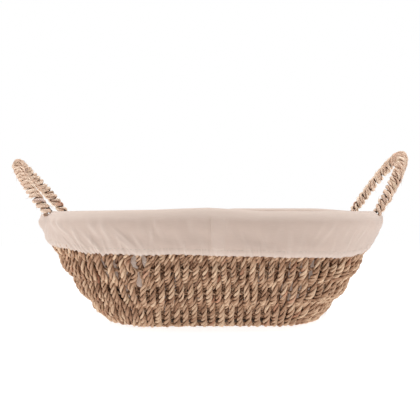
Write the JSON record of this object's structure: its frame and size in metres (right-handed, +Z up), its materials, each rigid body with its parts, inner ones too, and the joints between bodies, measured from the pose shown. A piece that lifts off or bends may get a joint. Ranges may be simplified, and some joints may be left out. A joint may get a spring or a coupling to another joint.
{
  "type": "bread basket",
  "caption": "Oval bread basket of woven seagrass rope on a wire frame, with outward-leaning arch handles and a cotton liner whose cuff folds over the rim.",
  "frame": {"origin": "on the table under the middle of the base mat's flat underside", "axes": "+X along the oval towards the right handle, -Y towards the front, +Z up out of the basket"},
  "size_m": [0.4302, 0.2536, 0.1853],
  "materials": {
    "seagrass_rope": "matte",
    "seagrass_wrap": "matte",
    "frame_wire": "satin",
    "cotton_cloth": "matte",
    "elastic": "matte"
  },
  "bodies": {
    "root": {"rim_wire": "frame_wire", "base_wire": "frame_wire", "rib_wire_left": "frame_wire", "rib_wire_middle": "frame_wire", "rib_wire_right": "frame_wire", "end_rib_wire_right_front": "frame_wire", "end_rib_wire_right_back": "frame_wire", "end_rib_wire_left_back": "frame_wire", "end_rib_wire_left_front": "frame_wire", "handle_wire_left": "frame_wire", "handle_wire_right": "frame_wire", "weft_rope_1": "seagrass_rope", "weft_rope_2": "seagrass_rope", "weft_rope_3": "seagrass_rope", "weft_rope_4": "seagrass_rope", "side_weave_front_left": "seagrass_rope", "side_weave_front_right": "seagrass_rope", "side_weave_right_1": "seagrass_rope", "side_weave_right_2": "seagrass_rope", "side_weave_right_3": "seagrass_rope", "side_weave_right_4": "seagrass_rope", "side_weave_right_5": "seagrass_rope", "side_weave_back_right": "seagrass_rope", "side_weave_back_left": "seagrass_rope", "side_weave_left_1": "seagrass_rope", "side_weave_left_2": "seagrass_rope", "side_weave_left_3": "seagrass_rope", "side_weave_left_4": "seagrass_rope", "side_weave_left_5": "seagrass_rope", "base_mat": "seagrass_rope", "handle_wrap_left": "seagrass_wrap", "handle_wrap_right": "seagrass_wrap", "liner_side_left": "cotton_cloth", "liner_side_right": "cotton_cloth", "liner_floor": "cotton_cloth", "hem_elastic": "elastic"}
  },
  "joints": []
}
